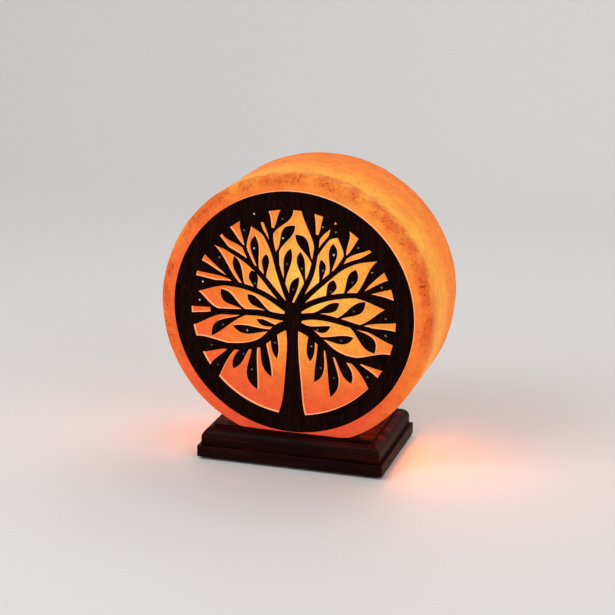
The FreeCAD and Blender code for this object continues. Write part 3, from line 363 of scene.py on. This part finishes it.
# On the side wall the lightest stripe lies level with the bulb at half height, and leans to the
# front as it goes up.
level_stripe = add(tree, "Math", {1: 8.0}, {0: split.outputs["Y"]}, operation="ADD")
from_stripe = add(tree, "Math", {1: 0.2}, {0: upward.outputs[0], 2: level_stripe.outputs[0]},
                  operation="MULTIPLY_ADD")
stripe_wander = add(tree, "Math", links={0: from_stripe.outputs[0], 1: lumps_by.outputs["Result"]},
                    operation="ADD")
side_place = add(tree, "MapRange", {"From Min": -25.0, "From Max": 60.0},
                 {"Value": stripe_wander.outputs[0]})
side_glow = add(tree, "ValToRGB", links={"Fac": side_place.outputs["Result"]},
                stops=((0.0, "#F48430"), (0.16, "#FA9C3A"), (0.29, "#FFB144"), (0.45, "#FDA63C"),
                       (0.59, "#FD9836"), (0.74, "#F9862C"), (0.9, "#F68830"), (1.0, "#F07C2E")))
rim_wander = add(tree, "MapRange", {"To Min": -5.0, "To Max": 5.0}, {"Value": seams.outputs["Fac"]})
# The wall's colour reaches further in over the back, which has no flat ground for a panel.
over_back = add(tree, "MapRange", {"From Min": 0.0, "From Max": 30.0, "To Min": 0.0, "To Max": 14.0},
                {"Value": split.outputs["Y"]})
from_rim = add(tree, "Math", links={0: over_back.outputs["Result"], 1: rim_wander.outputs["Result"]},
               operation="ADD")
rim_place = add(tree, "Math", links={0: radial.outputs["Value"], 1: from_rim.outputs[0]},
                operation="ADD")
on_side = add(tree, "MapRange", {"From Min": 84.0, "From Max": 97.0}, {"Value": rim_place.outputs[0]},
              interpolation_type="SMOOTHSTEP")
glow = add(tree, "MixRGB", links={"Fac": on_side.outputs["Result"], "Color1": face_glow.outputs["Color"],
                                  "Color2": side_glow.outputs["Color"]})
# Low down the light has come through more salt, and is redder. On the wall this starts lower at the
# clear right side.
side_tilt = add(tree, "Math", {1: 0.15}, {0: split_off.outputs["X"]}, operation="MULTIPLY")
wall_level = add(tree, "Math", links={0: side_tilt.outputs[0], 1: on_side.outputs["Result"],
                                      2: split.outputs["Z"]}, operation="MULTIPLY_ADD")
lowness = add(tree, "MapRange", {"From Min": 80.0, "From Max": 28.0, "To Min": 0.0, "To Max": 0.85},
              {"Value": wall_level.outputs[0]})
redder = add(tree, "MixRGB", {"Color2": linear("#E64832")},
             {"Fac": lowness.outputs["Result"], "Color1": glow.outputs["Color"]})
cloudy_by = add(tree, "MapRange", {"From Min": 0.3, "From Max": 0.7, "To Min": 0.86, "To Max": 1.13},
                {"Value": seams.outputs["Fac"]})
cloudy = add(tree, "VectorMath", links={0: redder.outputs["Color"], 3: cloudy_by.outputs["Result"]},
             operation="SCALE")
# The wheel was sawn and washed while it turned: faint streaks run round its wall, 6 mm apart.
flat_x = add(tree, "SeparateXYZ", links={"Vector": from_axis.outputs["Vector"]})
round_angle = add(tree, "Math", links={0: flat_x.outputs["X"], 1: flat_x.outputs["Z"]},
                  operation="ARCTAN2")
round_way = add(tree, "CombineXYZ", links={"X": round_angle.outputs[0], "Y": flat_x.outputs["Y"]})
drawn_out = add(tree, "Mapping", {"Scale": (2.0, 0.16, 1)}, {"Vector": round_way.outputs["Vector"]})
streaky = add(tree, "TexNoise", {"Scale": 1.0, "Detail": 4.0, "Roughness": 0.6, "Distortion": 0.6},
              {"Vector": drawn_out.outputs["Vector"]})
streak_by = add(tree, "MapRange", {"From Min": 0.5, "From Max": 0.72, "To Min": 0.0, "To Max": 0.45},
                {"Value": streaky.outputs["Fac"]})
only_side = add(tree, "Math", links={0: streak_by.outputs["Result"], 1: on_side.outputs["Result"]},
                operation="MULTIPLY")
streaked = add(tree, "MixRGB", {"Color2": linear("#F27830")},
               {"Fac": only_side.outputs[0], "Color1": cloudy.outputs["Vector"]})
# Rusty specks half a millimetre across sit in patches, most of them in a belt over the rim's upper
# part, near the front.
belt = add(tree, "MapRange", {"From Min": 86.0, "From Max": 92.0}, {"Value": radial.outputs["Value"]},
           interpolation_type="SMOOTHSTEP")
near_front = add(tree, "MapRange", {"From Min": -20.0, "From Max": -34.0}, {"Value": split.outputs["Y"]},
                 interpolation_type="SMOOTHSTEP")
high_up = add(tree, "MapRange", {"From Min": 68.0, "From Max": 94.0}, {"Value": split.outputs["Z"]},
              interpolation_type="SMOOTHSTEP")
front_belt = add(tree, "Math", links={0: belt.outputs["Result"], 1: near_front.outputs["Result"]},
                 operation="MULTIPLY")
belted = add(tree, "Math", links={0: front_belt.outputs[0], 1: high_up.outputs["Result"]},
             operation="MULTIPLY")
patch_noise = add(tree, "TexNoise", {"Scale": 0.06, "Detail": 4.0, "Roughness": 0.6}, {"Vector": place})
patches = add(tree, "MapRange", {"From Min": 0.38, "From Max": 0.58}, {"Value": patch_noise.outputs["Fac"]})
here = add(tree, "Math", {1: 0.14}, {0: belted.outputs[0]}, operation="ADD")
speck_share = add(tree, "Math", links={0: here.outputs[0], 1: patches.outputs["Result"]},
                  operation="MULTIPLY", use_clamp=True)
grains = add(tree, "TexNoise", {"Scale": 0.6, "Detail": 4.0, "Roughness": 0.8}, {"Vector": place})
speck_edge = add(tree, "MapRange", {"From Min": 0.54, "From Max": 0.62}, {"Value": grains.outputs["Fac"]})
specks = add(tree, "Math", links={0: speck_edge.outputs["Result"], 1: speck_share.outputs[0]},
             operation="MULTIPLY")
stain_share = add(tree, "Math", {1: 0.7}, {0: speck_share.outputs[0]}, operation="MULTIPLY")
stained = add(tree, "MixRGB", {"Color2": linear("#E05424")},
              {"Fac": stain_share.outputs[0], "Color1": streaked.outputs["Color"]})
rusty = add(tree, "MixRGB", {"Color2": linear("#8C2A10")},
            {"Fac": specks.outputs[0], "Color1": stained.outputs["Color"]})
# A few thin dark seams of clay wind through the face and sides.
seam_noise = add(tree, "TexNoise", {"Scale": 0.045, "Detail": 5.0, "Roughness": 0.6, "Distortion": 1.2},
                 {"Vector": place})
off_seam = add(tree, "Math", {1: 0.5}, {0: seam_noise.outputs["Fac"]}, operation="SUBTRACT")
beside = add(tree, "Math", links={0: off_seam.outputs[0]}, operation="ABSOLUTE")
seam_line = add(tree, "MapRange", {"From Min": 0.0, "From Max": 0.012, "To Min": 0.35, "To Max": 0.0},
                {"Value": beside.outputs[0]})
veined = add(tree, "MixRGB", {"Color2": linear("#C04A20")},
             {"Fac": seam_line.outputs["Result"], "Color1": rusty.outputs["Color"]})
tree.links.new(veined.outputs["Color"], shader.inputs["Emission Color"])
# Painted light: the base colour is the glow's own colour scaled down, so it too is yellow near the bulb and
# redder low down.
glow_as_base_colour = add(tree, "VectorMath", {3: 0.28}, {0: veined.outputs["Color"]}, operation="SCALE")
tree.links.new(glow_as_base_colour.outputs["Vector"], shader.inputs["Base Color"])
pitted = add(tree, "TexNoise", {"Scale": 0.7, "Detail": 5.0, "Roughness": 0.65}, {"Vector": place})
pits = add(tree, "Bump", {"Strength": 0.5, "Distance": 0.0004}, {"Height": pitted.outputs["Fac"]})
tree.links.new(pits.outputs["Normal"], shader.inputs["Normal"])
salt_mesh.materials.append(glowing_salt)

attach(salt_wheel, "lamp")
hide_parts("salt_drum")


# ---- Tree panel
# A ring with a tree in it, cut by laser from 3 mm plywood, stained nearly black and glued to the
# ground face. The grain stands upright. The cut walls, charred on the real panel, are painted pale peach as
# painted light from the salt's glow, with the plies showing as stripes.

plywood_with_painted_lit_walls, tree, shader, place = new_finish("stained_laser_cut_plywood")
shader.inputs["Roughness"].default_value = 0.7
shader.inputs["Specular IOR Level"].default_value = 0.03
# The veneer's streaks are some 3 mm apart and drawn out some 50 mm.
upright = add(tree, "Mapping", {"Scale": (0.33, 0.33, 0.02)}, {"Vector": place})
streaks = add(tree, "TexNoise", {"Scale": 1.0, "Detail": 6.0, "Roughness": 0.6, "Distortion": 0.3},
              {"Vector": upright.outputs["Vector"]})
ticks = add(tree, "Mapping", {"Scale": (2.2, 2.2, 0.16)}, {"Vector": place})
vessels = add(tree, "TexNoise", {"Scale": 1.0, "Detail": 2.0}, {"Vector": ticks.outputs["Vector"]})
vessel_edge = add(tree, "MapRange", {"From Min": 0.56, "From Max": 0.68}, {"Value": vessels.outputs["Fac"]})
veneer = add(tree, "ValToRGB", links={"Fac": streaks.outputs["Fac"]},
             stops=((0.32, "#080101"), (0.5, "#0E0302"), (0.64, "#180604"), (0.78, "#260B06")))
ticked = add(tree, "MixRGB", {"Color2": linear("#2B0D07")},
             {"Fac": vessel_edge.outputs["Result"], "Color1": veneer.outputs["Color"]})
depth = add(tree, "SeparateXYZ", links={"Vector": place})
plies = add(tree, "TexWave", {"Scale": 0.157, "Phase Offset": 1.2}, {"Vector": place},
            bands_direction="Y")
# Painted light: the cut walls are painted pale peach, as if lit by the salt's glow, with the plies as
# stripes through it.
ply_walls_painted_lit = add(tree, "ValToRGB", links={"Fac": plies.outputs["Fac"]},
           stops=((0.35, "#CC8E5E"), (0.65, "#F6CCA4")))
facing = add(tree, "TexCoord")
turned = add(tree, "SeparateXYZ", links={"Vector": facing.outputs["Normal"]})
squarely = add(tree, "Math", links={0: turned.outputs["Y"]}, operation="ABSOLUTE")
is_face = add(tree, "Math", {1: 0.5}, {0: squarely.outputs[0]}, operation="GREATER_THAN")
panel_tone = add(tree, "MixRGB", links={"Fac": is_face.outputs[0], "Color1": ply_walls_painted_lit.outputs["Color"],
                                        "Color2": ticked.outputs["Color"]})
tree.links.new(panel_tone.outputs["Color"], shader.inputs["Base Color"])
# Painted light: the cut edges glow by themselves, standing in for the salt's light falling on them, so that
# they stand out against the dark face.
painted_edge_glow = add(tree, "MixRGB", {"Color1": linear("#FFB27A"), "Color2": linear("#000000")},
                {"Fac": is_face.outputs[0]})
tree.links.new(painted_edge_glow.outputs["Color"], shader.inputs["Emission Color"])
shader.inputs["Emission Strength"].default_value = 0.4
raised_grain = add(tree, "Bump", {"Strength": 0.3, "Distance": 0.00015},
                   {"Height": vessels.outputs["Fac"]})
tree.links.new(raised_grain.outputs["Normal"], shader.inputs["Normal"])
dress(plywood_with_painted_lit_walls, "tree_panel")


# ---- Stones on the leaves
# Small foil-backed stones of pressed and polished glass, with a flat table and eight facets, glued
# on the leaves by hand, so that each leans its own way and only some of them flash.

STONE_FACETS = 8
STONE_LEAN = 0.3
STONE_SHARE = 0.8

stones_mesh = bpy.data.meshes.new("leaf_stones")
stones = bmesh.new()
seats = bmesh.new()
seats.from_mesh(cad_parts["panel_crystals"].data)
bmesh.ops.remove_doubles(seats, verts=seats.verts, dist=0.00001)
waiting = set(seats.verts)
while waiting:
    found = [waiting.pop()]
    for point in found:
        near = [edge.other_vert(point) for edge in point.link_edges]
        found += [other for other in near if other in waiting]
        waiting -= set(near)
    corners = [point.co for point in found]
    front, back = min(co.y for co in corners), max(co.y for co in corners)
    middle = Vector(((min(co.x for co in corners) + max(co.x for co in corners)) / 2, back,
                     (min(co.z for co in corners) + max(co.z for co in corners)) / 2))
    wide = (max(co.x for co in corners) - min(co.x for co in corners)) / 2 * STONE_SHARE
    tall = back - front
    lean_x = STONE_LEAN * noise.noise(middle * 900)
    lean_z = STONE_LEAN * noise.noise(middle * 900 + Vector((7, 7, 7)))
    turn = math.tau * noise.noise(middle * 500)
    stand = (Matrix.Translation(middle) @ Matrix.Rotation(lean_z, 4, "Z")
             @ Matrix.Rotation(math.pi / 2 + lean_x, 4, "X") @ Matrix.Rotation(turn, 4, "Z"))
    girdle = tall * 0.35
    bmesh.ops.create_cone(stones, cap_ends=True, segments=STONE_FACETS * 2, radius1=wide * 0.8,
                          radius2=wide * 0.97, depth=girdle,
                          matrix=stand @ Matrix.Translation((0, 0, girdle / 2 + tall * 0.08)))
    bmesh.ops.create_cone(stones, cap_ends=True, segments=STONE_FACETS, radius1=wide * 0.96,
                          radius2=wide * 0.5, depth=tall * 0.42,
                          matrix=stand @ Matrix.Translation((0, 0, girdle + tall * 0.29)))
seats.free()
stones.to_mesh(stones_mesh)
stones.free()
leaf_stones = bpy.data.objects.new("leaf_stones", stones_mesh)
bpy.context.scene.collection.objects.link(leaf_stones)

foiled_glass, tree, shader, place = new_finish("foil_backed_glass")
shader.inputs["Roughness"].default_value = 0.05
shader.inputs["Specular IOR Level"].default_value = 0.9
# Each stone is about 2 mm wide. Painted glints: the table is painted white on some stones and grey or dark
# on others, as if only some catch the light.
painted_glint_chance = add(tree, "TexNoise", {"Scale": 0.11, "Detail": 2.0, "Roughness": 0.8}, {"Vector": place})
painted_glint_tone = add(tree, "ValToRGB", links={"Fac": painted_glint_chance.outputs["Fac"]},
                stops=((0.46, "#2B2526"), (0.53, "#8A888E"), (0.58, "#FFFFFF")))
# Painted reflection: the slanting facets are painted dark, as the dark leaf reflected in them, so that only
# the flat table is painted light.
facing = add(tree, "TexCoord")
turned = add(tree, "SeparateXYZ", links={"Vector": facing.outputs["Normal"]})
squarely = add(tree, "Math", links={0: turned.outputs["Y"]}, operation="ABSOLUTE")
is_table = add(tree, "Math", {1: 0.85}, {0: squarely.outputs[0]}, operation="GREATER_THAN")
painted_glint_and_reflection_tone = add(tree, "MixRGB", {"Color1": linear("#2A2426")},
                 {"Fac": is_table.outputs[0], "Color2": painted_glint_tone.outputs["Color"]})
tree.links.new(painted_glint_and_reflection_tone.outputs["Color"], shader.inputs["Base Color"])
stones_mesh.materials.append(foiled_glass)
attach(leaf_stones, "lamp")
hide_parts("panel_crystals")


# ---- Table and backdrop
# One sheet of matt pale card, laid on the table and swept up behind the lamp in a wide bend.

SHEET_HALF = 1.6
SHEET_FRONT = -1.8
BEND_START = 0.75
BEND_RADIUS = 0.5
SHEET_TOP = 2.2

sheet_mesh = bpy.data.meshes.new("pale_sheet")
sheet = bmesh.new()
edge_line = [sheet.verts.new((side * SHEET_HALF, SHEET_FRONT, 0)) for side in (-1, 1)]
front_edge = [sheet.edges.new(edge_line)]
stations = [(BEND_START, 0.0)]
for step in range(1, 17):
    angle = math.pi / 2 * step / 16
    stations.append((BEND_START + BEND_RADIUS * math.sin(angle), BEND_RADIUS * (1 - math.cos(angle))))
stations.append((BEND_START + BEND_RADIUS, SHEET_TOP))
for across_y, level in stations:
    raised = bmesh.ops.extrude_edge_only(sheet, edges=front_edge)["geom"]
    front_edge = [part for part in raised if isinstance(part, bmesh.types.BMEdge)]
    for point in [part for part in raised if isinstance(part, bmesh.types.BMVert)]:
        point.co.y, point.co.z = across_y, level
sheet.to_mesh(sheet_mesh)
sheet.free()
pale_sheet = bpy.data.objects.new("pale_sheet", sheet_mesh)
bpy.context.scene.collection.objects.link(pale_sheet)
for face in sheet_mesh.polygons:
    face.use_smooth = True
pale_card, tree, shader, place = new_finish("matt_pale_card")
shader.inputs["Roughness"].default_value = 0.6
fibres = add(tree, "TexNoise", {"Scale": 0.4, "Detail": 4.0}, {"Vector": place})
card_tone = add(tree, "ValToRGB", links={"Fac": fibres.outputs["Fac"]},
                stops=((0.3, "#DEDBD8"), (0.7, "#E2DFDC")))
tree.links.new(card_tone.outputs["Color"], shader.inputs["Base Color"])
sheet_mesh.materials.append(pale_card)


# ---- Light
# Soft daylight all round from the room, a large soft box high at the left, a weaker one at the right
# and a strip behind, which draws the outline of the salt and of the mouldings.

room = bpy.data.worlds.new("pale_room")
room.use_nodes = True
bpy.context.scene.world = room
room.node_tree.nodes["Background"].inputs["Color"].default_value = linear("#F2F4F8")
room.node_tree.nodes["Background"].inputs["Strength"].default_value = 0.55

for name, watts, width, spot in (
    ("key_box", 11.0, 0.9, (-0.8, -0.9, 1.2)),
    ("fill_box", 4.0, 0.9, (1.1, -0.8, 0.7)),
    ("back_strip", 4.0, 0.7, (0.3, 0.6, 1.3)),
):
    lamp = bpy.data.lights.new(name, "AREA")
    lamp.energy = watts
    lamp.size = width
    lamp_stand = bpy.data.objects.new(name, lamp)
    lamp_stand.location = spot
    aim = Vector((0, 0, 0.1)) - Vector(spot)
    lamp_stand.rotation_euler = aim.to_track_quat("-Z", "Y").to_euler()
    bpy.context.scene.collection.objects.link(lamp_stand)

# What shines out of the salt's flanks on to the plinth and the table: three strips up each flank,
# turned away from the wheel, so that they light only what the salt would light. The right side is
# the clearer one.
for angle, milliwatts in ((33, 70), (56, 19), (78, 26)):
    for side, share in (("right", 1.0), ("left", 0.45)):
        turned_by = math.radians(-angle if side == "right" else angle)
        away = Vector((-math.sin(turned_by), 0, -math.cos(turned_by)))
        strip = bpy.data.lights.new(f"glow_{side}_{angle}", "AREA")
        strip.shape = "RECTANGLE"
        strip.size = 0.02
        strip.size_y = 0.07
        strip.energy = share * milliwatts / 1000
        strip.color = linear("#FF8438")[:3]
        strip_stand = bpy.data.objects.new(f"glow_{side}_{angle}", strip)
        strip_stand.rotation_euler = (0, turned_by, 0)
        strip_stand.location = drum_centre + away * (drum_radius + 0.002)
        strip_stand.visible_camera = False
        strip_stand.visible_glossy = False
        bpy.context.scene.collection.objects.link(strip_stand)


# ---- Camera
# It stands 1.28 m away, a little to the right of the lamp and above it, and leans by under a degree.

AZIMUTH = math.radians(16.0)
ELEVATION = math.radians(16.14)
LEAN = math.radians(-0.81)
DISTANCE = 1.275
AIM_SIDEWAYS = -0.00105
AIM_HEIGHT = 0.10335

back = Vector((math.sin(AZIMUTH) * math.cos(ELEVATION), -math.cos(AZIMUTH) * math.cos(ELEVATION),
               math.sin(ELEVATION)))
right = Vector((math.cos(AZIMUTH), math.sin(AZIMUTH), 0))
up = back.cross(right)
view_right = right * math.cos(LEAN) - up * math.sin(LEAN)
view_up = right * math.sin(LEAN) + up * math.cos(LEAN)
stand = Vector((0, 0, AIM_HEIGHT)) + right * AIM_SIDEWAYS + back * DISTANCE
lens = bpy.data.cameras.new("view")
lens.sensor_width = 36
lens.lens = 107.7
lens.shift_y = -1 / 615
lens.clip_start = 0.05
camera = bpy.data.objects.new("view", lens)
camera.matrix_world = Matrix.Translation(stand) @ Matrix((view_right, view_up, back)).transposed().to_4x4()
bpy.context.scene.collection.objects.link(camera)
bpy.context.scene.camera = camera
bpy.context.scene.view_settings.view_transform = "Standard"
